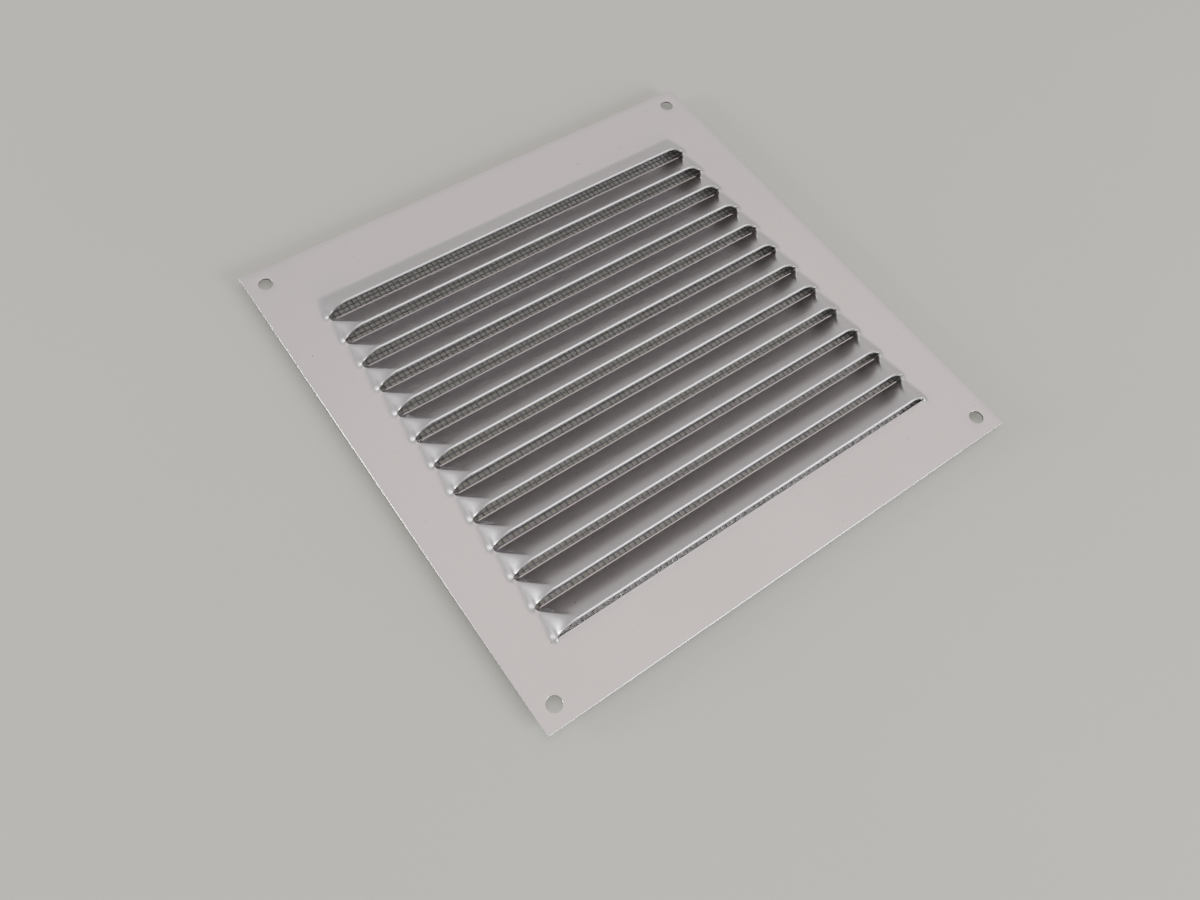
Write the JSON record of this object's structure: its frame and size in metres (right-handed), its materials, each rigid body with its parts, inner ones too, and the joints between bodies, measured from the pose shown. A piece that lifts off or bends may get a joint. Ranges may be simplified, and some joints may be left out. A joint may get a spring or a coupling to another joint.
{
  "type": "ventilation grille",
  "caption": "Square wall ventilation grille pressed from one aluminium sheet, with a row of louvres, corner screw holes and an insect screen bonded to its back.",
  "frame": {"origin": "on the back of the insect screen, under the middle of the plate", "axes": "+Z out of the front face, +X along the louvres, +Y towards the top edge, so the louvres open towards -Y"},
  "size_m": [0.15, 0.15, 0.0065],
  "materials": {
    "sheet_aluminium": "satin mill finish",
    "screen_wire": "dull drawn wire",
    "adhesive": "matte translucent"
  },
  "bodies": {
    "root": {"louvre_plate": "sheet_aluminium", "insect_mesh": "screen_wire", "mesh_adhesive": "adhesive"}
  },
  "joints": []
}
